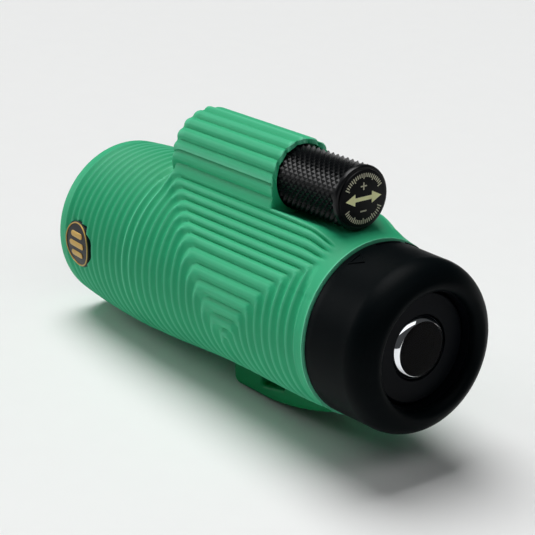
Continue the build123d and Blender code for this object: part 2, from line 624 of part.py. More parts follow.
# ---- nodes ----
NODES = {
    "body_shell": body_shell,
    "rubber_armour": rubber_armour,
    "foot_block": foot_block,
    "tripod_insert": tripod_insert,
    "side_badge": side_badge,
    "badge_emblem": badge_emblem,
    "guide_rod": guide_rod,
    "objective_cell": objective_cell,
    "objective_o_ring": objective_o_ring,
    "objective_flint_lens": objective_flint_lens,
    "objective_crown_lens": objective_crown_lens,
    "objective_retaining_ring": objective_retaining_ring,
    "light_baffles": light_baffles,
    "front_prism": front_prism,
    "roof_prism": roof_prism,
    "prism_cage": prism_cage,
    "prism_clip": prism_clip,
    "prism_cage_screws": lambda: with_drive(screw_set(CAGE_SCREW), CAGE_SCREW),
    "field_stop": field_stop,
    "eyepiece_barrel": eyepiece_barrel,
    "field_lens": field_lens,
    "eyepiece_spacer": eyepiece_spacer,
    "eye_doublet": eye_doublet,
    "eye_lens": eye_lens,
    "eyepiece_bezel": eyepiece_bezel,
    "eyepiece_tube": eyepiece_tube,
    "eyepiece_flange_screws": lambda: with_drive(screw_set(FLANGE_SCREW), FLANGE_SCREW),
    "eyepiece_o_ring": eyepiece_o_ring,
    "eyecup_guide_ring": eyecup_guide_ring,
    "eyecup_core": eyecup_core,
    "eyecup_cam_pins": eyecup_cam_pins,
    "eyecup_snap_ring": eyecup_snap_ring,
    "eyecup_rubber": eyecup_rubber,
    "knob_bush": knob_bush,
    "front_screw_bearing": front_screw_bearing,
    "focus_screw": focus_screw,
    "friction_washer": friction_washer,
    "knob_hub": knob_hub,
    "knob_screw": knob_screw,
    "knob_grip": knob_grip,
    "knob_badge": knob_badge,
    "focus_nut": focus_nut,
    "focus_arm": focus_arm,
    "focus_lens_cell": focus_lens_cell,
    "focus_lens": focus_lens,
    "focus_lens_ring": focus_lens_ring,
}

os.makedirs("parts", exist_ok=True)
for name, make in NODES.items():
    shape = make()
    if isinstance(shape, list):
        shape = Compound(children=shape)
    export_step(shape, f"parts/{name}.step")
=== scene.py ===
"""A rubber-armoured monocular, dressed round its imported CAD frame.

Shapes are worked out in millimetres in the frame's own axes and written in metres.
The optical axis runs along Y, the eyecup is at low Y and the focus knob lies on top.
"""
import json
import math

import bpy
import bmesh
import numpy as np
from mathutils import Matrix, Vector


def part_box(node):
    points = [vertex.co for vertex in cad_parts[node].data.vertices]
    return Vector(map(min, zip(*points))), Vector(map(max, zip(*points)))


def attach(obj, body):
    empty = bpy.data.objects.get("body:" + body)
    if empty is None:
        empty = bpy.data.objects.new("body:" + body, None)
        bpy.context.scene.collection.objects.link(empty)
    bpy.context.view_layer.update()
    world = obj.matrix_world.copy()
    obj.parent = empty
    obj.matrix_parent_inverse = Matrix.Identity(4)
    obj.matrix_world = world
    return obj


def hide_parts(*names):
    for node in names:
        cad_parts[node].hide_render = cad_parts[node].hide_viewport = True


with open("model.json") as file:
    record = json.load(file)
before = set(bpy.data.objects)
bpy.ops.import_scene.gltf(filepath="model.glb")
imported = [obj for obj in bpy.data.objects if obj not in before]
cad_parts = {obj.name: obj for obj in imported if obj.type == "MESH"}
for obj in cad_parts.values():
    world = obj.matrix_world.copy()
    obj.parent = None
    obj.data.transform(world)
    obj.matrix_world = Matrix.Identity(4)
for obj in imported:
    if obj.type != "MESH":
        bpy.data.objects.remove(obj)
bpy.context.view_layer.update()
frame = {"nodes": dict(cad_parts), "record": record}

MM = 0.001
SHARP_DEGREES = 38.0                     # edges that bend more than this are shaded sharp
WELD_DISTANCE = 1e-7                     # in metres
ROUND_STEPS = 96                         # points round a bore, a ring or a laid disc


def box_mm(node):
    """The low and high corners of a CAD node, in millimetres."""
    low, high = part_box(node)
    return np.array(low) / MM, np.array(high) / MM


# ---- measures taken from the frame, in millimetres ----
ARMOUR_LOW, ARMOUR_HIGH = box_mm("rubber_armour")
KNOB_LOW, KNOB_HIGH = box_mm("knob_grip")
CUP_LOW, CUP_HIGH = box_mm("eyecup_rubber")
FOOT_LOW, FOOT_HIGH = box_mm("foot_block")
BADGE_LOW, BADGE_HIGH = box_mm("side_badge")
DISC_LOW, DISC_HIGH = box_mm("knob_badge")
INSERT_LOW, INSERT_HIGH = box_mm("tripod_insert")

REAR_Y = ARMOUR_LOW[1]
FRONT_Y = ARMOUR_HIGH[1]
AXIS_Z = (box_mm("eye_lens")[0][2] + box_mm("eye_lens")[1][2]) / 2
KNOB_RISE = (KNOB_LOW[2] + KNOB_HIGH[2]) / 2 - AXIS_Z     # knob axis above the optical axis
KNOB_R = (KNOB_HIGH[0] - KNOB_LOW[0]) / 2
HUMP_R = ARMOUR_HIGH[2] - AXIS_Z - KNOB_RISE
CUP_R = (CUP_HIGH[0] - CUP_LOW[0]) / 2
BADGE_Y = (BADGE_LOW[1] + BADGE_HIGH[1]) / 2
BADGE_R = (BADGE_HIGH[1] - BADGE_LOW[1]) / 2


# ---- mesh helpers ----
def smooth_step(t):
    """From 0 to 1 with a level start and end."""
    t = np.clip(t, 0.0, 1.0)
    return t * t * (3 - 2 * t)


def smooth_max(a, b, softness):
    """The larger value, rounded off where the two are closer than the softness."""
    gap = np.clip(1 - np.abs(a - b) / softness, 0, 1)
    return np.maximum(a, b) + gap * gap * softness / 4


def smooth_min(a, b, softness):
    """The smaller value, rounded off in the same way."""
    return -smooth_max(-a, -b, softness)


def finish_shading(piece, sharp_degrees=SHARP_DEGREES):
    """Smooth shading, apart from the edges that bend more than an angle."""
    piece.data.shade_smooth()
    piece.data.set_sharp_from_angle(angle=math.radians(sharp_degrees))


def add_piece(name, points, faces, sharp_degrees=SHARP_DEGREES):
    """A mesh object from points in millimetres."""
    mesh = bpy.data.meshes.new(name)
    mesh.from_pydata([tuple(p) for p in np.asarray(points) * MM], [], faces)
    mesh.update()
    piece = bpy.data.objects.new(name, mesh)
    bpy.context.scene.collection.objects.link(piece)
    finish_shading(piece, sharp_degrees)
    return piece


def outward(piece, weld=False):
    """Turns every face outwards, after welding points that coincide."""
    work = bmesh.new()
    work.from_mesh(piece.data)
    if weld:
        bmesh.ops.remove_doubles(work, verts=work.verts, dist=WELD_DISTANCE)
    bmesh.ops.recalc_face_normals(work, faces=work.faces)
    work.to_mesh(piece.data)
    work.free()


def lattice_faces(rows, columns, close_rows, close_columns):
    """Four-sided faces over rows of points, which may close on themselves either way."""
    faces = []
    for i in range(rows if close_rows else rows - 1):
        below = ((i + 1) % rows) * columns
        for j in range(columns if close_columns else columns - 1):
            k = (j + 1) % columns
            faces.append((i * columns + j, i * columns + k, below + k, below + j))
    return faces


def end_caps(rows, columns):
    """The two faces that close the ends of a lattice."""
    return [tuple(range(columns)), tuple((rows - 1) * columns + k for k in range(columns))]


def turned_piece(name, outline, segments=128, axis_z=AXIS_Z, sharp_degrees=SHARP_DEGREES, closed=True):
    """A body of revolution about a line along Y, from (radius, y) points.

    An outline that isn't closed starts and ends on the axis, where its points are welded.
    """
    angles = np.arange(segments) * 2 * math.pi / segments
    rows = []
    for radius, y in outline:
        x, z = radius * np.sin(angles), axis_z + radius * np.cos(angles)
        rows.append(np.stack([x, np.full(segments, y), z], 1))
    faces = lattice_faces(len(outline), segments, closed, True)
    piece = add_piece(name, np.concatenate(rows), faces, sharp_degrees)
    outward(piece, weld=not closed)
    finish_shading(piece, sharp_degrees)
    return piece


def arc_through(first, middle, last, steps):
    """Points of the circular arc through three (radius, y) points."""
    a, b, c = (complex(*point) for point in (first, middle, last))
    w = (c - a) / (b - a)
    centre = (b - a) * (w - abs(w) ** 2) / (2j * w.imag) + a
    start = a - centre
    turn = np.angle((c - centre) / start)
    if np.angle((b - centre) / start) * turn < 0:
        turn -= math.copysign(2 * math.pi, turn)
    swept = [centre + start * np.exp(1j * turn * k / steps) for k in range(steps + 1)]
    return [(p.real, p.imag) for p in swept]


def eased_corner(radius, y, size, middle, inward):
    """Three (radius, y) points round an outer corner. inward is 1 or -1, the way into the body."""
    return [(radius - size, y), (radius - middle, y + inward * middle), (radius, y + inward * size)]


def apply_modifiers(piece):
    """Puts the mesh that the modifiers make in place of the piece's own."""
    bpy.context.view_layer.update()
    evaluated = piece.evaluated_get(bpy.context.evaluated_depsgraph_get())
    mesh = bpy.data.meshes.new_from_object(evaluated)
    piece.modifiers.clear()
    old = piece.data
    piece.data = mesh
    bpy.data.meshes.remove(old)


def cut(piece, *tools):
    """Cuts each tool out of the piece and removes it."""
    for tool in tools:
        modifier = piece.modifiers.new("cut", "BOOLEAN")
        modifier.operation = "DIFFERENCE"
        modifier.solver = "EXACT"
        modifier.object = tool
        apply_modifiers(piece)
        bpy.data.objects.remove(tool)


def cylinder_tool(radius, start, end):
    """A cylinder from one point to another, to cut with."""
    start, end = Vector(start), Vector(end)
    work = bmesh.new()
    turn = Vector((0, 0, 1)).rotation_difference(end - start).to_matrix().to_4x4()
    place = Matrix.Translation((start + end) / 2) @ turn
    bmesh.ops.create_cone(work, cap_ends=True, segments=ROUND_STEPS, radius1=radius, radius2=radius,
                          depth=(end - start).length, matrix=place)
    bmesh.ops.scale(work, vec=(MM, MM, MM), verts=work.verts)
    mesh = bpy.data.meshes.new("tool")
    work.to_mesh(mesh)
    work.free()
    tool = bpy.data.objects.new("tool", mesh)
    bpy.context.scene.collection.objects.link(tool)
    return tool


# ---- the ribbed rubber armour: the barrel ----
SWELL_R, SWELL_Y = 24.6, FRONT_Y - 30.2  # the barrel's widest place
WAIST_R, WAIST_Y = 22.8, REAR_Y + 36.0   # where it starts to swell towards the objective
RIM_R = 22.9
RIM_ROUND = 1.4
HOOD_R = 17.6                            # the mouth in front of the objective
HOOD_DEPTH = 2.0
HOOD_BEVEL = 0.5
INNER_R = 20.0
TAIL_DRAW, TAIL_LENGTH = 0.6, 14.0       # how far the rear end draws in towards the eyecup

# ---- the tunnel over the knob's shaft, and the flanks beside it ----
# In these sections an angle, theta or turn, is measured from the top, round the optical axis.
SHOULDER_X, SHOULDER_H = 10.2, 25.6      # where the tunnel's side meets the sloping flank
FLANK_X, FLANK_H = 19.2, 11.6            # where the flank leaves the barrel
HUMP_REAR_Y = -12.7
HUMP_FRONT_Y = 32.0
HUMP_SIDE_OUT = 0.15                     # the upright sides stand this far outside the round top
HUMP_SPREAD = 1.0                        # no part of the tunnel lies beyond this angle
BLEND = 0.8                              # how softly the tunnel and flanks run into the barrel
FLANK_BLEND = 0.5                        # and the tunnel's sides into the flanks
LEAST_FACING = 0.05                      # keeps a reach finite where its surface is seen edge on

SHOULDER_FALL = 1.3                      # the shoulders' crest sinks this far to the rear end
SHOULDER_DRAW = 3.9                      # and comes in by this much
HOLLOW_SUNK = 0.1                        # how far the knob's hollow cuts below crest and barrel
CREST_OUTER_ROUND = 1.2                  # how round the crest is towards the flank
CREST_INNER_ROUND = 0.7                  # and towards the hollow
SHOULDER_FADE = 12.0                     # length over which the shoulders sink into the barrel
PLAIN_MARGIN = 1.6                       # height next to the hollow over which the ribs fade out
FAR_OUT = 99                             # a reach beyond everything

# ---- the ribs: rings round the barrel, straight flutes on top and nested loops on each side ----
RING_PITCH = 3.03
RIB_STEPS = 6                            # mesh cells across one rib
NEST_Y = REAR_Y + 32.15                  # middle of the nested loops
NEST_HALF = 4.95                         # half width of the loop numbered 0
NEST_DROP = math.radians(11.3)           # arc lengths start this far below the axis's level
RING_DEPTH = 1.0
RING_POWER = 1.3                         # a lower power makes narrower crests
FLUTE_DEPTH = 0.85
FLUTE_POWER = 2.2
CORNER_FRONT, CORNER_REAR = 1.5, 0.7     # how round the loops' corners are, in ribs
LOOP_BLEND = 1.2                         # ribs over which a ring's section turns into a flute's
RIM_PLAIN, RIM_FADE = 3.0, 1.2           # smooth bands at the rim, at the rear end
TAIL_PLAIN, TAIL_FADE = 2.0, 1.5
CUP_PLAIN, CUP_PLAIN_ARC, CUP_FADE = 6.5, 18.0, 4.0       # and on top next to the eyecup
CURVE_STEPS = 6000                       # samples along the section, to measure arc lengths


def rear_tail(y):
    """How much the last few millimetres draw in towards the eyecup."""
    return TAIL_DRAW * np.clip(1 - (y - REAR_Y) / TAIL_LENGTH, 0, 1) ** 2


def barrel_radius(y):
    """The barrel's radius over the rib crests, at one or many places along it."""
    rise = smooth_step((y - WAIST_Y) / (SWELL_Y - WAIST_Y))
    swell = WAIST_R + (SWELL_R - WAIST_R) * rise
    taper = (SWELL_R - RIM_R) * np.clip((y - SWELL_Y) / (FRONT_Y - SWELL_Y), 0, 1) ** 2
    return swell - taper - rear_tail(y)


def flank_reach(theta):
    """Distance from the optical axis to the flank's plane, at an angle from the top."""
    along = np.array([SHOULDER_X - FLANK_X, SHOULDER_H - FLANK_H])
    normal = np.array([along[1], -along[0]]) / np.hypot(*along)
    facing = normal[0] * np.sin(np.abs(theta)) + normal[1] * np.cos(theta)
    reach = (normal[0] * SHOULDER_X + normal[1] * SHOULDER_H) / np.maximum(facing, LEAST_FACING)
    return np.where(np.abs(theta) < math.atan2(normal[0], normal[1]), reach, 0)


def hump_reach(theta):
    """The same for the knob's tunnel: half-round top, upright sides, then the flank."""
    turn = np.abs(theta)
    inside = np.maximum(HUMP_R ** 2 - (KNOB_RISE * np.sin(turn)) ** 2, 0)
    top = KNOB_RISE * np.cos(turn) + np.sqrt(inside)
    side = (HUMP_R + HUMP_SIDE_OUT) / np.maximum(np.sin(turn), LEAST_FACING)
    on_top = turn < math.atan2(HUMP_R, KNOB_RISE)
    tunnel = np.where(on_top, top, side)
    return smooth_max(np.where(turn < HUMP_SPREAD, tunnel, 0), flank_reach(theta), FLANK_BLEND)


def shoulder_reach(theta, y):
    """Behind the tunnel the flanks run on, hollowed for the knob, and sink into the barrel.

    Gives the reach, and how far each point belongs to the hollow, which has no ribs.
    """
    back = (HUMP_REAR_Y - y) / (HUMP_REAR_Y - REAR_Y)         # 0 at the tunnel, 1 at the rear end
    crest_h = SHOULDER_H - SHOULDER_FALL * back
    edge_x = SHOULDER_X - SHOULDER_DRAW * smooth_step(back * 0.75) ** 0.7
    edge_h = crest_h - HOLLOW_SUNK
    floor_h = WAIST_R - HOLLOW_SUNK
    depth = edge_h - floor_h
    hollow_r = (edge_x ** 2 + depth ** 2) / (2 * depth)
    centre_h = floor_h + hollow_r
    turn = np.abs(theta)
    crest = crest_h / np.maximum(np.cos(turn), LEAST_FACING)
    under = hollow_r ** 2 - (centre_h * np.sin(turn)) ** 2
    hollow = np.where(under > 0, centre_h * np.cos(turn) - np.sqrt(np.maximum(under, 0)), FAR_OUT)
    outside = smooth_min(flank_reach(theta), crest, CREST_OUTER_ROUND)
    reach = smooth_min(outside, hollow, CREST_INNER_ROUND)
    barrel = barrel_radius(y)
    fade = smooth_step((y - REAR_Y) / SHOULDER_FADE) ** 0.8
    plain = smooth_step((outside - hollow + PLAIN_MARGIN) / PLAIN_MARGIN)
    return barrel + (reach - barrel) * fade, plain


def arc_along_hump(theta):
    """Arc length up the tunnel's section, for angles from the top."""
    fine = np.linspace(math.pi, 0, CURVE_STEPS)
    reach = np.maximum(WAIST_R, hump_reach(fine))
    x, h = reach * np.sin(fine), reach * np.cos(fine)
    run = np.concatenate([[0], np.cumsum(np.hypot(np.diff(x), np.diff(h)))])
    foot = np.interp(-(math.pi / 2 + NEST_DROP), -fine, run)
    return np.interp(-np.abs(theta), -fine, run) - foot


def arc_round_barrel(theta, radius):
    """The same up the bare barrel."""
    return radius * (math.pi / 2 + NEST_DROP - np.abs(theta))


TOP_ARC = float(arc_along_hump(np.array([0.0]))[0])
SHOULDER_ARC = float(arc_along_hump(np.array([math.atan2(SHOULDER_X, SHOULDER_H)]))[0])
FLANK_ARC = WAIST_R * (NEST_DROP + math.atan2(FLANK_H, FLANK_X)) + 2.0      # just up the flank
FIRST_ARC = 1.0                          # the top of loop 0
LOW_PITCH = 3.2                          # pitch of the loops inside it
LOW_RIB, FLANK_RIB, SHOULDER_RIB, TOP_RIB = -12, 5, 11, 17
LAST_REAR_RIB = 10.6                     # behind the tunnel, the ribs above this one fade out
REAR_RIB_FADE = 0.7


def rib_count(arc_length):
    """Number of flutes up to an arc length: 0 on top of loop 0, 17 along the crown."""
    stops = [FIRST_ARC + LOW_PITCH * LOW_RIB, FIRST_ARC, FLANK_ARC, SHOULDER_ARC, TOP_ARC]
    return np.interp(arc_length, stops, [LOW_RIB, 0, FLANK_RIB, SHOULDER_RIB, TOP_RIB])


def rib_depth(y, arc_length, plain):
    """How far the surface lies below the rib crests.

    Rings are counted along the barrel and flutes up its sides. The larger count wins, so
    that a ring and a flute of the same number join into one loop.
    """
    ring = np.abs(y - NEST_Y) / RING_PITCH - NEST_HALF / RING_PITCH
    flute = rib_count(arc_length)
    field = smooth_max(ring, flute, np.where(y > NEST_Y, CORNER_FRONT, CORNER_REAR))
    offset = np.abs(field - np.round(field)) * 2              # 0 on a crest, 1 in a groove
    ring_depth = RING_DEPTH * np.sin(offset * math.pi / 2) ** RING_POWER
    flute_depth = FLUTE_DEPTH * offset ** FLUTE_POWER
    depth = ring_depth + (flute_depth - ring_depth) * smooth_step((flute - ring) / LOOP_BLEND + 0.5)
    before_rim = smooth_step((FRONT_Y - RIM_PLAIN - y) / RIM_FADE)
    past_tail = smooth_step((y - REAR_Y - TAIL_PLAIN) / TAIL_FADE)
    by_cup = smooth_step((REAR_Y + CUP_PLAIN - y) / CUP_FADE)
    by_cup = by_cup * smooth_step((arc_length - CUP_PLAIN_ARC) / CUP_FADE)
    return depth * before_rim * past_tail * (1 - by_cup) * (1 - plain)


HUMP_EDGE = 0.35                         # bevel round the tunnel's rear face
WALL_HEIGHT = 1.5                        # from this height on, the rear face stands upright
SLOPE_REAR_Y = HUMP_FRONT_Y - 6.0        # the tunnel's front end falls between these
SLOPE_FRONT_Y = HUMP_FRONT_Y + 4.0
SLOPE_STEPS = 26
TALL_HEIGHT = 3.0                        # from this height on, the slope's rows are crowded
RING_STEPS = 400                         # more rows than fit on the barrel
LEAST_ROW_GAP = 0.1


def armour_columns():
    """Angles from the top, on the rib crests and grooves above and evenly spaced below."""
    fine = np.linspace(math.pi, 0, CURVE_STEPS)
    count = rib_count(arc_along_hump(fine))
    marks = np.arange(-2 * RIB_STEPS, TOP_RIB * RIB_STEPS + 1) / RIB_STEPS
    upper = np.interp(marks, count, fine)
    lower = np.linspace(math.pi, upper[0], 20, endpoint=False)
    half = np.concatenate([lower, upper])
    return np.concatenate([half, -half[-2:0:-1]])


def ring_rows(y0, y1):
    """Y values between two ends that fall on the ring crests and grooves."""
    away = RING_PITCH / RIB_STEPS * np.arange(RING_STEPS)
    front = NEST_Y + NEST_HALF + away
    rear = NEST_Y - NEST_HALF - away
    middle = np.linspace(NEST_Y - NEST_HALF, NEST_Y + NEST_HALF, 21)[1:-1]
    every = np.sort(np.concatenate([front, rear, middle]))
    inside = every[(every > y0 + LEAST_ROW_GAP) & (every < y1 - LEAST_ROW_GAP)]
    return np.concatenate([[y0], inside, [y1]])


def with_tunnel(theta, y):
    """The reach of barrel, flanks and tunnel together."""
    return smooth_max(hump_reach(theta), barrel_radius(y), BLEND)


# Every row below is (y, radius, arc length, plain), each a number or one value per column.
def shoulder_rows(theta):
    """From the bore's rear end over the edge and along the shoulders, up to the tunnel."""
    hump_arc = arc_along_hump(theta)
    faded = smooth_step((rib_count(hump_arc) - LAST_REAR_RIB) / REAR_RIB_FADE)
    rows = [(REAR_Y, INNER_R, 0.0, 1.0)]
    for y in ring_rows(REAR_Y, HUMP_REAR_Y):
        reach, hollow = shoulder_reach(theta, y)
        rows.append((y, smooth_max(reach, barrel_radius(y), BLEND), hump_arc, np.maximum(hollow, faded)))
    return rows


def tunnel_rear_rows(theta, behind):
    """The tunnel's rear face. Where there is none, its rows are spread along the flank instead."""
    hump_arc = arc_along_hump(theta)
    tunnel = with_tunnel(theta, HUMP_REAR_Y)
    wall = smooth_step((tunnel - behind) / WALL_HEIGHT)
    spread = HUMP_EDGE * (1 - wall)
    rows = []
    for share in (0.2, 0.4, 0.6, 0.8):
        rows.append((HUMP_REAR_Y + spread * share, behind + (tunnel - behind) * share, hump_arc, wall))
    rows.append((HUMP_REAR_Y + spread * 0.9, tunnel - HUMP_EDGE * wall, hump_arc, 0.0))
    return rows


def tunnel_rows(theta):
    """Along the tunnel, behind its front end."""
    hump_arc = arc_along_hump(theta)
    places = ring_rows(HUMP_REAR_Y + HUMP_EDGE, SLOPE_REAR_Y)
    return [(y, with_tunnel(theta, y), hump_arc, 0.0) for y in places]


def tunnel_front_rows(theta):
    """The tunnel's front end falls to the barrel. Its rows lie closest where it is steepest."""
    hump_arc = arc_along_hump(theta)
    length = SLOPE_FRONT_Y - SLOPE_REAR_Y
    rows = []
    for k in range(1, SLOPE_STEPS):
        share = k / SLOPE_STEPS
        crowded = 0.5 + 0.5 * np.sign(2 * share - 1) * abs(2 * share - 1) ** 3
        crowded_y = SLOPE_REAR_Y + length * crowded
        even_y = SLOPE_REAR_Y + length * share
        # where the tunnel hardly stands out of the barrel, the rows stay evenly spaced
        tall = smooth_step((with_tunnel(theta, crowded_y) - barrel_radius(crowded_y)) / TALL_HEIGHT)
        y = even_y + (crowded_y - even_y) * tall
        barrel = barrel_radius(y)
        left = 1 - smooth_step(share) ** 0.85
        arc_length = arc_round_barrel(theta, barrel) * (1 - left) + hump_arc * left
        rows.append((y, barrel + (with_tunnel(theta, y) - barrel) * left, arc_length, 0.0))
    return rows


def rim_rows(theta):
    """The bare barrel in front of the tunnel, and its rounded rim."""
    rim_y = FRONT_Y - RIM_ROUND
    rim_r = float(barrel_radius(rim_y)) - RIM_ROUND
    rows = []
    for y in ring_rows(SLOPE_FRONT_Y, rim_y):
        rows.append((y, barrel_radius(y), arc_round_barrel(theta, barrel_radius(y)), 0.0))
    for turn in np.radians([15, 30, 45, 60, 75, 90]):
        rows.append((rim_y + RIM_ROUND * math.sin(turn), rim_r + RIM_ROUND * math.cos(turn), 0.0, 1.0))
    return rows


def mouth_rows():
    """The hood's mouth, the step behind it, and the bore in a few long faces."""
    hood_y = FRONT_Y - HOOD_DEPTH
    outline = [(FRONT_Y, HOOD_R + HOOD_BEVEL), (FRONT_Y - HOOD_BEVEL, HOOD_R), (hood_y, HOOD_R)]
    outline += [(y, INNER_R) for y in (hood_y, 40.0, 20.0, 0.0, -20.0)]
    return [(y, radius, 0.0, 1.0) for y, radius in outline]


def armour_grid():
    """All rows across all columns, from the rear end to the rim and back through the bore."""
    theta = armour_columns()
    rows = shoulder_rows(theta)
    rows += tunnel_rear_rows(theta, rows[-1][1])
    rows += tunnel_rows(theta) + tunnel_front_rows(theta)
    rows += rim_rows(theta) + mouth_rows()
    values = (np.array([np.broadcast_to(row[k], theta.shape) for row in rows]) for k in range(4))
    return theta, *values


KNOB_GAP = 0.3                           # between the knob and the recess it turns in
POCKET_DEPTH = 2.1                       # how far that recess enters the tunnel's rear face
BADGE_FLOOR_X = -22.2                    # floor of the badge's recess
RECESS_PLAY = 0.05
LEAST_NORMAL = 1e-9                      # guards the division where rows lie on each other


def build_armour():
    """The rubber with its ribs pressed in, recessed for the knob and the badge."""
    theta, y, radius, arc_length, plain = armour_grid()
    base = np.stack([radius * np.sin(theta), y, AXIS_Z + radius * np.cos(theta)], 2)
    across = np.roll(base, -1, 1) - np.roll(base, 1, 1)
    along = np.roll(base, -1, 0) - np.roll(base, 1, 0)
    normal = np.cross(across, along)
    normal /= np.maximum(np.linalg.norm(normal, axis=2, keepdims=True), LEAST_NORMAL)
    rows, columns = y.shape
    if normal[rows // 2, columns // 2, 2] < 0:
        normal = -normal
    points = base - normal * rib_depth(y, arc_length, plain)[:, :, None]
    armour = add_piece("armour", points.reshape(-1, 3), lattice_faces(rows, columns, True, True))
    outward(armour)
    knob_z = AXIS_Z + KNOB_RISE
    # both tools start outside the rubber
    pocket_ends = (0, HUMP_REAR_Y - 1.5, knob_z), (0, HUMP_REAR_Y + POCKET_DEPTH, knob_z)
    badge_ends = (-30, BADGE_Y, AXIS_Z), (BADGE_FLOOR_X, BADGE_Y, AXIS_Z)
    pocket = cylinder_tool(KNOB_R + KNOB_GAP, *pocket_ends)
    recess = cylinder_tool(BADGE_R + RECESS_PLAY, *badge_ends)
    cut(armour, pocket, recess)
    finish_shading(armour)
    return armour


armour = build_armour()
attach(armour, "root")
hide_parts("rubber_armour")


# ---- drawings laid on surfaces: u across, v up, w outwards ----
BAR_STEPS = 9                            # points round each end of a bar, and along it
LEAST_WIDTH = 0.01                       # half the width at a bar's very tip


def on_knob_end(u, v, w):
    """On the knob's rear disc, as the user sees it."""
    return np.stack([u, DISC_LOW[1] - w, AXIS_Z + KNOB_RISE + v], -1)


def on_left_side(u, v, w):
    """On the barrel round the side badge, seen from the left."""
    y = BADGE_Y - u
    radius = barrel_radius(y)
    turn = v / radius
    return np.stack([-(radius + w) * np.cos(turn), y, AXIS_Z + (radius + w) * np.sin(turn)], -1)


def on_eyecup(u, v, w):
    """On the eyecup's side: u round from the top towards the right, v forwards from its front edge."""
    turn = u / CUP_R
    return np.stack([(CUP_R + w) * np.sin(turn), CUP_HIGH[1] + v, AXIS_Z + (CUP_R + w) * np.cos(turn)], -1)


def raised_strokes(name, strokes, place, height, sunk=0.25):
    """Raised lines on a surface. A stroke is its path, its half width along it, and if it is a loop."""
    eased = height * 0.6
    section = [(-1, -sunk), (-1, eased), (-0.8, height), (0.8, height), (1, eased), (1, -sunk)]
    points, faces = [], []
    for path, half_width, loop in strokes:
        path = np.array(path, float)
        count = len(path)
        if loop:
            run = np.roll(path, -1, 0) - np.roll(path, 1, 0)
        else:
            run = np.gradient(path, axis=0)
        run /= np.linalg.norm(run, axis=1, keepdims=True)
        side = np.stack([-run[:, 1], run[:, 0]], 1)
        start = len(points)
        for share, lift in section:
            edge = path + side * (share * np.broadcast_to(half_width, count))[:, None]
            points.extend(place(edge[:, 0], edge[:, 1], np.full(count, lift)))
        for face in lattice_faces(len(section), count, True, loop):
            faces.append(tuple(start + k for k in face))
        if not loop:
            faces.append(tuple(start + k * count for k in range(len(section))))
            faces.append(tuple(start + k * count + count - 1 for k in range(len(section))))
    piece = add_piece(name, np.array(points), faces, 30)
    outward(piece)
    return piece


def bar(start, end, half_width):
    """A straight stroke with round ends."""
    start, end = np.array(start, float), np.array(end, float)
    length = np.linalg.norm(end - start)
    along = (end - start) / length
    turns = np.linspace(math.pi / 2, 0.05, BAR_STEPS)
    rear = -half_width * np.cos(turns)[::-1]
    front = length + half_width * np.cos(turns)
    middle = np.linspace(0, length, BAR_STEPS)[1:-1]
    places = np.concatenate([rear, middle, front])
    over = np.maximum(np.maximum(-places, places - length), 0)
    widths = np.sqrt(np.maximum(half_width ** 2 - over ** 2, LEAST_WIDTH ** 2))
    return start + along * places[:, None], widths, False


def ring(radius, half_width):
    """A stroke round in a circle."""
    turns = np.arange(ROUND_STEPS) * 2 * math.pi / ROUND_STEPS
    return np.stack([radius * np.sin(turns), radius * np.cos(turns)], 1), half_width, True


def bent_disc(name, rings, place):
    """A disc laid on a surface, from (radius, height) rings that start and end at its middle."""
    turns = np.arange(ROUND_STEPS) * 2 * math.pi / ROUND_STEPS
    rows = [place(r * np.sin(turns), r * np.cos(turns), np.full(ROUND_STEPS, w)) for r, w in rings]
    piece = add_piece(name, np.concatenate(rows), lattice_faces(len(rings), ROUND_STEPS, False, True))
    outward(piece, weld=True)
    finish_shading(piece)
    return piece


# ---- the foot ----
FOOT_HALF_W = (FOOT_HIGH[0] - FOOT_LOW[0]) / 2
FOOT_TOP_Z = 7.5                         # buried in the rubber under the barrel
FOOT_FLAT_END_Y = -9.0
FOOT_END_Z = 5.7                         # the ramp's rear end, at the barrel's underside
FOOT_NOSE_R = 3.2
FOOT_EDGE_R = 1.7
SLOT_Y = (-15.5, -6.0)
SLOT_Z = (3.3, 9.5)
SLOT_RISE = 1.6                          # its floor climbs with the ramp towards the rear
SLOT_CORNER = 1.2
SLOT_FILLET = 0.8
SLOT_FLARE = (0, 20, 40, 60, 78, 90)     # degrees round that fillet
INSERT_R = (INSERT_HIGH[0] - INSERT_LOW[0]) / 2
INSERT_PLAY = 0.02
FOOT_STRAIGHT = 0.35                     # this share of the ramp's rise is straight, the rest curves
FOOT_SHARP_DEGREES = 32


def foot_section(y):
    """Half of the foot's outline across, at one place along it: (x, z) points from its top."""
    into = np.clip(FOOT_HIGH[1] - y, 0, FOOT_NOSE_R)
    nose = FOOT_NOSE_R - math.sqrt(FOOT_NOSE_R ** 2 - (FOOT_NOSE_R - into) ** 2)
    ramp = np.clip((FOOT_FLAT_END_Y - y) / (FOOT_FLAT_END_Y - FOOT_LOW[1]), 0, 1)
    bottom = nose + FOOT_END_Z * (FOOT_STRAIGHT * ramp + (1 - FOOT_STRAIGHT) * ramp ** 2)
    half_w = FOOT_HALF_W - nose * 0.7
    edge = min(FOOT_EDGE_R, FOOT_TOP_Z - bottom - 0.1)
    points = [(half_w, FOOT_TOP_Z)]
    for turn in np.radians(np.linspace(0, 90, 9)):
        points.append((half_w - edge + edge * math.cos(turn), bottom + edge - edge * math.sin(turn)))
    return points


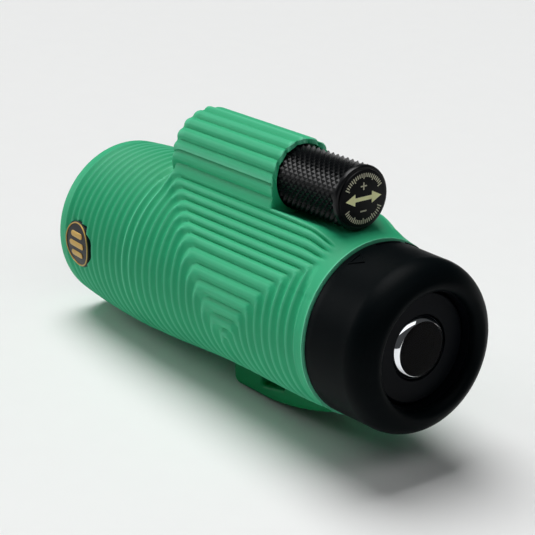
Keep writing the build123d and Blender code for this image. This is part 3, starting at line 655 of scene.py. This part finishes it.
def rounded_slot():
    """The strap slot as a tool: a rounded opening across the foot that flares at both mouths."""
    flare = [math.radians(degrees) for degrees in SLOT_FLARE]
    stations = [FOOT_HALF_W - SLOT_FILLET + SLOT_FILLET * math.sin(t) for t in flare] + [FOOT_HALF_W + 3]
    flares = [SLOT_FILLET * (1 - math.cos(t)) for t in flare] + [SLOT_FILLET + 0.5]
    turns = np.radians(np.arange(0, 360, 15) + 0.001)         # just past the quarters, for the signs
    mid_y, mid_z = np.mean(SLOT_Y), np.mean(SLOT_Z)
    half_y = (SLOT_Y[1] - SLOT_Y[0]) / 2 - SLOT_CORNER
    half_z = (SLOT_Z[1] - SLOT_Z[0]) / 2 - SLOT_CORNER
    rows = []
    for x, grow in zip([-x for x in reversed(stations)] + stations, flares[::-1] + flares):
        corner = SLOT_CORNER + grow
        y = mid_y + np.sign(np.cos(turns)) * half_y + corner * np.cos(turns)
        z = mid_z + np.sign(np.sin(turns)) * half_z + corner * np.sin(turns)
        z += np.where(np.sin(turns) < 0, SLOT_RISE * (SLOT_Y[1] - y) / (SLOT_Y[1] - SLOT_Y[0]), 0)
        rows.append(np.stack([np.full(len(turns), x), y, z], 1))
    count = len(turns)
    faces = lattice_faces(len(rows), count, False, True) + end_caps(len(rows), count)
    tool = add_piece("tool", np.concatenate(rows), faces)
    outward(tool)
    return tool


def build_foot():
    """The foot with its rounded nose and long ramp, and holes for the strap and the camera bush."""
    nose = FOOT_HIGH[1] - FOOT_NOSE_R * (1 - np.cos(np.radians(np.linspace(0, 90, 10))))
    stations = np.concatenate([nose, np.linspace(nose[-1], FOOT_LOW[1], 60)[1:]])
    rows = []
    for y in stations:
        half = foot_section(y)
        across = half + [(-x, z) for x, z in reversed(half)]
        rows.append([(x, y, z) for x, z in across])
    count = len(rows[0])
    faces = lattice_faces(len(rows), count, False, True) + end_caps(len(rows), count)
    foot = add_piece("foot", np.array(rows).reshape(-1, 3), faces)
    outward(foot)
    socket = cylinder_tool(INSERT_R + INSERT_PLAY, (0, 0, -1), (0, 0, FOOT_TOP_Z + 1))
    cut(foot, rounded_slot(), socket)
    finish_shading(foot, FOOT_SHARP_DEGREES)
    return foot


foot = build_foot()
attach(foot, "root")
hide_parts("foot_block")


# ---- the eyecup ----
CORE_LOW, CORE_HIGH = box_mm("eyecup_core")
CORE_R = (CORE_HIGH[0] - CORE_LOW[0]) / 2
CUP_MOUTH_R = 14.7
CUP_EDGE, CUP_EDGE_MIDDLE = 0.45, 0.12   # the rounded front edge, and its middle point
CUP_SIDE, CUP_DRAFT = 12.6, 0.2          # the straight side, and how much it draws in
SHOULDER_DEPTH = 7.0                     # the shoulder starts this far in front of the end
LIP_CREST_R = CUP_MOUTH_R + 2.85         # where shoulder and lip meet, at the very end
LIP_DEPTH = 2.6                          # inside the lip, the bore widens towards the core
CORE_END_DEPTH = 5.5                     # and from here on it fits the core


def build_eyecup():
    """Soft rubber: a straight side, a broad round shoulder and a rolled lip round the mouth."""
    end_y, front_y = CUP_LOW[1], CUP_HIGH[1]
    inside_y = end_y + LIP_DEPTH
    side_r = CUP_R - CUP_DRAFT
    crest = (LIP_CREST_R, end_y)
    outline = eased_corner(CUP_R, front_y, CUP_EDGE, CUP_EDGE_MIDDLE, -1)
    for share in np.arange(1, 6) / 6:
        outline.append((CUP_R - CUP_DRAFT * share, front_y - CUP_EDGE - CUP_SIDE * share))
    outline += arc_through((side_r, end_y + SHOULDER_DEPTH), (20.3, end_y + 2.2), crest, 22)
    outline += arc_through(crest, (LIP_CREST_R - 2.0, end_y + 0.15), (CUP_MOUTH_R, end_y + 1.6), 12)[1:]
    outline += [(CUP_MOUTH_R, inside_y), (CORE_R - 2.0, inside_y), (CORE_R, end_y + CORE_END_DEPTH)]
    outline.append((CORE_R, front_y))
    return turned_piece("eyecup_skin", outline, segments=160)


def build_cup_marks():
    """An outlined arrow and two index dashes moulded near the cup's front edge."""
    line, dash, dash_v = 0.2, 0.28, -1.3
    tip, left, right = (-8.6, -5.2), (-10.7, -2.0), (-6.6, -2.0)
    strokes = [bar(tip, left, line), bar(left, right, line), bar(right, tip, line)]
    for first, last in ((-1.0, 6.2), (8.4, 12.6)):
        strokes.append(bar((first, dash_v), (last, dash_v), dash))
    return raised_strokes("cup_marks", strokes, on_eyecup, 0.2)


eyecup = build_eyecup()
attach(eyecup, "eyecup")
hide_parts("eyecup_rubber")
cup_marks = build_cup_marks()
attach(cup_marks, "eyecup")


# ---- the focus knob ----
KNURL_COUNT = 28
KNURL_DEPTH = 0.55
KNURL_SHARP_DEGREES = 24
RIM_BAND, FRONT_BAND = 1.2, 0.8          # smooth rims at the knob's rear and front ends
RIM_INSET = 0.1                          # the rims lie this far below the knurl's points
DISC_PLAY = 0.05
DISC_POCKET = 1.4                        # depth of the disc's seat in the sleeve
DISC_R = (DISC_HIGH[0] - DISC_LOW[0]) / 2
SLEEVE_BORE_R = 5.45


def build_sleeve():
    """The knob's sleeve: pyramids between crossed grooves, and a smooth rim at each end."""
    columns = 2 * KNURL_COUNT
    rear, front = KNOB_LOW[1], KNOB_HIGH[1]
    first, last = rear + RIM_BAND, front - FRONT_BAND
    steps = 2 * round((last - first) * KNURL_COUNT / (2 * math.pi * KNOB_R))
    rim_r = KNOB_R - RIM_INSET
    seat_r, seat_y = DISC_R + DISC_PLAY, rear + DISC_POCKET
    profile = [(seat_r, rear), *eased_corner(rim_r, rear, 0.45, 0.13, 1), (rim_r, first - 0.1)]
    before = len(profile)
    profile += [(KNOB_R - KNURL_DEPTH, first + (last - first) * k / steps) for k in range(steps + 1)]
    profile += [(rim_r, last + 0.1), (rim_r, front - 0.4), (rim_r - 0.4, front)]
    profile += [(SLEEVE_BORE_R, front), (SLEEVE_BORE_R, seat_y), (seat_r, seat_y)]
    knurled = range(before, before + steps + 1)
    points = []
    for row, (radius, y) in enumerate(profile):
        for column in range(columns):
            inner = before < row < before + steps
            reach = KNOB_R if inner and (row + column) % 2 == 0 else radius
            turn = 2 * math.pi * column / columns
            points.append((reach * math.sin(turn), y, AXIS_Z + KNOB_RISE + reach * math.cos(turn)))
    faces = []
    for face in lattice_faces(len(profile), columns, True, True):
        row, column = divmod(face[0], columns)
        a, b, c, d = face
        if row not in knurled or row + 1 not in knurled:
            faces.append(face)
        elif (row + column) % 2 == 0:
            faces += [(a, b, d), (b, c, d)]
        else:
            faces += [(a, b, c), (a, c, d)]
    sleeve = add_piece("knob_sleeve", np.array(points), faces)
    outward(sleeve)
    finish_shading(sleeve, KNURL_SHARP_DEGREES)
    return sleeve


def build_knob_disc():
    """The flat disc in the sleeve's rear end."""
    rear, front = DISC_LOW[1], DISC_HIGH[1]
    outline = [(0, rear), *eased_corner(DISC_R, rear, 0.3, 0.09, 1), (DISC_R, front), (0, front)]
    return turned_piece("knob_disc", outline, axis_z=AXIS_Z + KNOB_RISE, closed=False)


INK_SUNK = 0.1                           # how far the printed marks reach into the disc
TICK_DEGREES = 6.2
TICK_R, TICK_END_R = 5.3, 6.3
LONG_TICK_R = 4.9                        # every fifth tick starts here
SIGN_V, SIGN_REACH = 3.1, 0.8            # the plus and minus: off the middle, and half their size


def build_knob_arrow():
    """A double-headed arrow for the two ways the knob turns."""
    half_u = [0, 1, 2, 2.55, 2.6, 3.2, 3.8, 4.4, 5.0, 5.5]
    half_width = [0.5, 0.5, 0.5, 0.5, 1.5, 1.19, 0.88, 0.57, 0.27, 0.02]
    path = [(-u, 0) for u in half_u[:0:-1]] + [(u, 0) for u in half_u]
    widths = half_width[:0:-1] + half_width
    return raised_strokes("knob_arrow", [(path, widths, False)], on_knob_end, 0.06, sunk=INK_SUNK)


def build_knob_scale():
    """Ticks round the disc above and below the arrow, with a plus and a minus."""
    strokes = []
    for middle in (0, 180):
        for index in range(-10, 11):
            turn = math.radians(middle + index * TICK_DEGREES)
            inner = LONG_TICK_R if index % 5 == 0 else TICK_R
            path = [(r * math.sin(turn), r * math.cos(turn)) for r in np.linspace(inner, TICK_END_R, 4)]
            strokes.append((path, 0.15, False))
    for v in (SIGN_V, -SIGN_V):
        strokes.append(bar((-SIGN_REACH, v), (SIGN_REACH, v), 0.17))
    strokes.append(bar((0, SIGN_V - SIGN_REACH), (0, SIGN_V + SIGN_REACH), 0.17))
    return raised_strokes("knob_scale", strokes, on_knob_end, 0.05, sunk=INK_SUNK)


sleeve = build_sleeve()
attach(sleeve, "focus_knob")
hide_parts("knob_grip")
knob_disc = build_knob_disc()
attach(knob_disc, "focus_knob")
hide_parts("knob_badge")
knob_arrow = build_knob_arrow()
knob_scale = build_knob_scale()
for piece in (knob_arrow, knob_scale):
    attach(piece, "focus_knob")


# ---- the badge on the left side ----
BADGE_DEPTH = 1.2
BADGE_RINGS = [(0, 0)] + [(r, 0) for r in np.linspace(0.8, BADGE_R - 0.35, 10)]
BADGE_RINGS += [(BADGE_R - 0.1, -0.08), (BADGE_R, -0.3), (BADGE_R, -BADGE_DEPTH), (0, -BADGE_DEPTH)]
badge = bent_disc("badge_disc", BADGE_RINGS, on_left_side)
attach(badge, "root")
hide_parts("side_badge")
RIM_LINE_INSET, RIM_LINE_HALF = 0.55, 0.17
BAR_PITCH, BAR_HALF = 2.75, 0.8
badge_marks = [ring(BADGE_R - RIM_LINE_INSET, RIM_LINE_HALF)]
for rise, reach in ((BAR_PITCH, 2.2), (0.0, 3.0), (-BAR_PITCH, 2.2)):
    badge_marks.append(bar((-reach, rise), (reach, rise), BAR_HALF))
badge_relief = raised_strokes("badge_relief", badge_marks, on_left_side, 0.2)
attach(badge_relief, "root")
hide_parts("badge_emblem")


# ---- the eye lens, with its ground and polished edge ----
LENS_LOW, LENS_HIGH = box_mm("eye_lens")
LENS_R = 8.2                             # just inside the bezel
DOME_R = 6.8
DOME_BULGE = 0.1
CROWN_Y = LENS_LOW[1] - 1.2              # the glass stands out of its CAD node by this
EDGE_TURN = (math.radians(30), math.radians(62))          # slope of the rounded edge, in and out
EDGE_BAND_Y = LENS_HIGH[1] - 0.8


def build_eye_lens():
    """A nearly flat dome, a polished rounded edge, a straight side and a blunt cone in front."""
    first, last = EDGE_TURN
    shoulder_r = (LENS_R - DOME_R) / (math.sin(last) - math.sin(first))
    outline = [(r, CROWN_Y + DOME_BULGE * (r / DOME_R) ** 2) for r in np.linspace(0, DOME_R, 12)]
    for turn in np.linspace(first, last, 10)[1:]:
        outline.append((DOME_R + shoulder_r * (math.sin(turn) - math.sin(first)),
                        CROWN_Y + DOME_BULGE + shoulder_r * (math.cos(first) - math.cos(turn))))
    outline += [(LENS_R, EDGE_BAND_Y), (0, LENS_HIGH[1])]
    return turned_piece("eye_glass", outline, closed=False, sharp_degrees=50)


eye_glass = build_eye_lens()
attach(eye_glass, "root")
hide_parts("eye_lens")


# ---- materials ----
DRIFT_SIZE = 9                           # size of the slow colour drift, in millimetres


def link(tree, a, a_socket, b, b_socket):
    """Joins an output of one node to an input of another."""
    tree.links.new(a.outputs[a_socket], b.inputs[b_socket])


def new_finish(name, colour, roughness, mottle=0.08, grain=0.25, bump=0.15, spread=0.06, stretch=(1, 1, 1),
               **settings):
    """A moulded, ground or polished surface: slow colour drift, fine grain and uneven roughness.

    grain is the grain's size and bump its height, both in millimetres; mottle is the share by which
    the colour drifts, and spread how far the roughness strays.
    """
    material = bpy.data.materials.new(name)
    material.use_nodes = True
    tree = material.node_tree
    shader = tree.nodes["Principled BSDF"]
    place = tree.nodes.new("ShaderNodeTexCoord")
    shape = tree.nodes.new("ShaderNodeMapping")
    shape.inputs["Scale"].default_value = stretch
    link(tree, place, "Object", shape, "Vector")

    drift = tree.nodes.new("ShaderNodeTexNoise")
    drift.inputs["Scale"].default_value = 1 / (DRIFT_SIZE * MM)
    drift.inputs["Detail"].default_value = 4
    link(tree, shape, "Vector", drift, "Vector")
    blend = tree.nodes.new("ShaderNodeMix")
    blend.data_type = "RGBA"
    blend.inputs["A"].default_value = (*(channel * (1 - mottle) for channel in colour), 1)
    blend.inputs["B"].default_value = (*(min(channel * (1 + mottle), 1) for channel in colour), 1)
    link(tree, drift, "Fac", blend, "Factor")
    link(tree, blend, "Result", shader, "Base Color")

    fine = tree.nodes.new("ShaderNodeTexNoise")
    fine.inputs["Scale"].default_value = 1 / (grain * MM)
    fine.inputs["Detail"].default_value = 2
    link(tree, shape, "Vector", fine, "Vector")
    rough = tree.nodes.new("ShaderNodeMapRange")
    rough.inputs["To Min"].default_value = max(roughness - spread, 0.0)
    rough.inputs["To Max"].default_value = roughness + spread
    link(tree, fine, "Fac", rough, "Value")
    link(tree, rough, "Result", shader, "Roughness")
    if bump:
        relief = tree.nodes.new("ShaderNodeBump")
        relief.inputs["Strength"].default_value = 0.6
        relief.inputs["Distance"].default_value = bump * MM
        link(tree, fine, "Fac", relief, "Height")
        link(tree, relief, "Normal", shader, "Normal")
    for socket, value in settings.items():
        shader.inputs[socket.replace("_", " ")].default_value = value
    return material


CREST_SHEEN_POINTINESS = (0.515, 0.57)         # where the painted crest sheen starts, and where it is full


def paint_crest_sheen(material, colour):
    """Paints the rib crests paler: a painted sheen for the light that the crests catch."""
    tree = material.node_tree
    shader = tree.nodes["Principled BSDF"]
    under = shader.inputs["Base Color"].links[0].from_node
    shape = tree.nodes.new("ShaderNodeNewGeometry")
    # pointiness picks out the crests, which get the painted sheen
    sheen_share = tree.nodes.new("ShaderNodeMapRange")
    sheen_share.inputs["From Min"].default_value = CREST_SHEEN_POINTINESS[0]
    sheen_share.inputs["From Max"].default_value = CREST_SHEEN_POINTINESS[1]
    link(tree, shape, "Pointiness", sheen_share, "Value")
    blend = tree.nodes.new("ShaderNodeMix")
    blend.data_type = "RGBA"
    blend.inputs["B"].default_value = (*colour, 1)
    link(tree, under, "Result", blend, "A")
    link(tree, sheen_share, "Result", blend, "Factor")
    link(tree, blend, "Result", shader, "Base Color")


FINISHES = {
    "armour_rubber": new_finish("green_rubber", (0.018, 0.42, 0.192), 0.6, mottle=0.05, bump=0.02,
                                Specular_IOR_Level=0.4),
    "foot_rubber": new_finish("foot_green", (0.0008, 0.20, 0.066), 0.5, mottle=0.05, grain=0.3, bump=0.015,
                              Specular_IOR_Level=0.15),
    "cup_rubber": new_finish("cup_rubber", (0.001, 0.0024, 0.003), 0.45, mottle=0.2, grain=0.2, bump=0.012,
                             Specular_IOR_Level=0.035),
    "seal_rubber": new_finish("seal_rubber", (0.01, 0.01, 0.01), 0.4, grain=0.3, bump=0.01),
    "shell_nylon": new_finish("shell_nylon", (0.018, 0.018, 0.02), 0.5, grain=0.15, bump=0.03),
    "black_plastic": new_finish("black_plastic", (0.002, 0.003, 0.0045), 0.42, grain=0.15, bump=0.015,
                                Specular_IOR_Level=0.05),
    "pom_plastic": new_finish("acetal", (0.6, 0.58, 0.52), 0.35, mottle=0.04, grain=0.4, bump=0.01),
    "badge_black": new_finish("badge_enamel", (0.003, 0.0035, 0.006), 0.3, mottle=0.2, grain=0.5, bump=0.01,
                              Specular_IOR_Level=0.2),
    "badge_gold": new_finish("badge_gold", (0.52, 0.33, 0.075), 0.38, mottle=0.2, grain=0.25, bump=0.02,
                             Metallic=0.55),
    "knob_rubber": new_finish("knob_black", (0.0014, 0.0022, 0.003), 0.3, mottle=0.2, grain=0.2, bump=0.01,
                              Specular_IOR_Level=0.25),
    "knob_face": new_finish("knob_face", (0.0016, 0.002, 0.0028), 0.5, mottle=0.2, grain=0.2, bump=0.01,
                            Specular_IOR_Level=0.12),
    "anodised": new_finish("anodised_black", (0.02, 0.02, 0.023), 0.38, grain=0.12, bump=0.01,
                           stretch=(1, 0.2, 1), Metallic=0.7),
    "steel": new_finish("ground_steel", (0.55, 0.56, 0.57), 0.28, mottle=0.1, grain=0.15, bump=0.01,
                        stretch=(1, 0.15, 1), Metallic=1.0),
    "brass": new_finish("turned_brass", (0.72, 0.48, 0.17), 0.25, mottle=0.12, grain=0.15, bump=0.01,
                        stretch=(1, 1, 6), Metallic=1.0),
    # a low index stands for the coatings that take the reflection away
    "coated_glass": new_finish("coated_glass", (0.01, 0.012, 0.05), 0.03, mottle=0.1, grain=2.0, bump=0,
                               spread=0.015, Transmission_Weight=1.0, IOR=1.12),
    "prism_glass": new_finish("prism_glass", (0.80, 0.88, 0.90), 0.03, mottle=0.04, grain=2.0, bump=0,
                              spread=0.015, Transmission_Weight=1.0, IOR=1.57),
}
# the rib crests get a painted sheen, a paler green standing in for the light they catch
paint_crest_sheen(FINISHES["armour_rubber"], (0.12, 0.62, 0.36))
CREAM_INK = new_finish("cream_ink", (0.88, 0.88, 0.46), 0.5, mottle=0.08, grain=0.2, bump=0.01)
PALE_INK = new_finish("pale_ink", (0.52, 0.51, 0.37), 0.5, mottle=0.25, grain=0.3, bump=0.01)
OBJECTIVE_GLASS = new_finish("objective_glass", (0.12, 0.16, 0.30), 0.02, mottle=0.1, grain=2.0, bump=0,
                             spread=0.01, Transmission_Weight=1.0, IOR=1.3, Thin_Film_Thickness=420.0,
                             Thin_Film_IOR=1.6)
POLISHED_EDGE = new_finish("polished_edge", (0.9, 0.92, 0.95), 0.05, mottle=0.03, grain=1.0, bump=0,
                           spread=0.02, Metallic=1.0)


def give(piece, material):
    """Puts one material on all of a piece."""
    if not piece.material_slots:
        piece.data.materials.append(material)
    for place in piece.material_slots:
        place.material = material


for part in frame["record"]["subparts"]:
    give(frame["nodes"][part["node"]], FINISHES[part["material_slot"]])
for piece, slot in ((armour, "armour_rubber"), (foot, "foot_rubber"), (eyecup, "cup_rubber"),
                    (cup_marks, "cup_rubber"), (sleeve, "knob_rubber"), (knob_disc, "knob_face"),
                    (badge, "badge_black"), (badge_relief, "badge_gold"), (eye_glass, "coated_glass")):
    give(piece, FINISHES[slot])
give(frame["nodes"]["objective_crown_lens"], OBJECTIVE_GLASS)
give(knob_arrow, CREAM_INK)
give(knob_scale, PALE_INK)

# the polished edge is the sloping band between the dome and the lens's side
eye_glass.data.materials.append(POLISHED_EDGE)
for face in eye_glass.data.polygons:
    reach = math.hypot(face.center[0], face.center[2] - AXIS_Z * MM) / MM
    if DOME_R < reach < LENS_R and -0.95 < face.normal.y < -0.1:
        face.material_index = 1


# ---- stage, lights and camera ----
FLOOR_TILT = math.atan(0.083)            # the monocular rests on its foot and its belly
FLOOR_REACH = 3.0                        # in metres
PAPER = (0.84, 0.845, 0.84)
WALL = (0.83, 0.84, 0.84)
FILL = (0.93, 0.97, 1.0)
CAMERA_AZIMUTH, CAMERA_ELEVATION = math.radians(-37.68), math.radians(19.70)
CAMERA_PLACE = (-260.66, -335.61, 184.26)
CAMERA_LENS = 117.9


def build_stage():
    """A pale paper floor under the foot."""
    work = bmesh.new()
    bmesh.ops.create_grid(work, x_segments=1, y_segments=1, size=FLOOR_REACH)
    mesh = bpy.data.meshes.new("floor")
    work.to_mesh(mesh)
    work.free()
    floor = bpy.data.objects.new("floor", mesh)
    bpy.context.scene.collection.objects.link(floor)
    floor.matrix_world = Matrix.Translation((0, FOOT_HIGH[1] * MM, 0)) @ Matrix.Rotation(FLOOR_TILT, 4, "X")
    mesh.materials.append(new_finish("floor_paper", PAPER, 0.9, mottle=0.01, grain=0.6, bump=0.01))


def area_light(name, place, target, size, power):
    """A rectangular light at one place, aimed at another, all in metres."""
    data = bpy.data.lights.new(name, "AREA")
    data.shape = "RECTANGLE"
    data.size, data.size_y = size
    data.energy = power
    light = bpy.data.objects.new(name, data)
    bpy.context.scene.collection.objects.link(light)
    aim = Vector(target) - Vector(place)
    light.rotation_euler = aim.to_track_quat("-Z", "Y").to_euler()
    light.location = place


def far_light(name, toward, spread, power):
    """A light far away in one direction, as wide as its spread in degrees."""
    data = bpy.data.lights.new(name, "SUN")
    data.energy = power
    data.angle = math.radians(spread)
    light = bpy.data.objects.new(name, data)
    bpy.context.scene.collection.objects.link(light)
    light.rotation_euler = Vector(toward).to_track_quat("Z", "Y").to_euler()


def build_lights():
    """Broad light from above, low light from beyond the object, a card over the camera, faint fill.

    Camera rays that miss the floor see a bright wall, which lights nothing.
    """
    world = bpy.data.worlds.new("studio")
    bpy.context.scene.world = world
    world.use_nodes = True
    tree = world.node_tree
    fill = tree.nodes["Background"]
    fill.inputs["Color"].default_value = (*FILL, 1)
    fill.inputs["Strength"].default_value = 0.05
    wall = tree.nodes.new("ShaderNodeBackground")
    wall.inputs["Color"].default_value = (*WALL, 1)
    seen = tree.nodes.new("ShaderNodeLightPath")
    choice = tree.nodes.new("ShaderNodeMixShader")
    link(tree, seen, "Is Camera Ray", choice, "Fac")
    tree.links.new(fill.outputs["Background"], choice.inputs[1])
    tree.links.new(wall.outputs["Background"], choice.inputs[2])
    link(tree, choice, "Shader", tree.nodes["World Output"], "Surface")
    far_light("skylight", (0.02, 0.25, 0.97), 44, 2.75)
    far_light("window", (-0.40, 0.85, 0.36), 25, 0.75)
    area_light("card", (-0.15, -0.60, 0.72), (0, -0.05, 0.03), (1.1, 0.3), 1.2)


def build_camera():
    """Behind, above and to the left, as one would pick the monocular up."""
    data = bpy.data.cameras.new("camera")
    data.sensor_width = 36
    data.lens = CAMERA_LENS
    data.clip_start = 0.01
    camera = bpy.data.objects.new("camera", data)
    bpy.context.scene.collection.objects.link(camera)
    azimuth, elevation = CAMERA_AZIMUTH, CAMERA_ELEVATION
    level = math.cos(elevation)
    back = Vector((math.sin(azimuth) * level, -math.cos(azimuth) * level, math.sin(elevation)))
    right = Vector((math.cos(azimuth), math.sin(azimuth), 0))
    up = back.cross(right)
    turn = Matrix((right, up, back)).transposed().to_4x4()
    camera.matrix_world = Matrix.Translation(Vector(CAMERA_PLACE) * MM) @ turn
    bpy.context.scene.camera = camera


build_stage()
build_lights()
build_camera()
bpy.context.scene.view_settings.view_transform = "Standard"
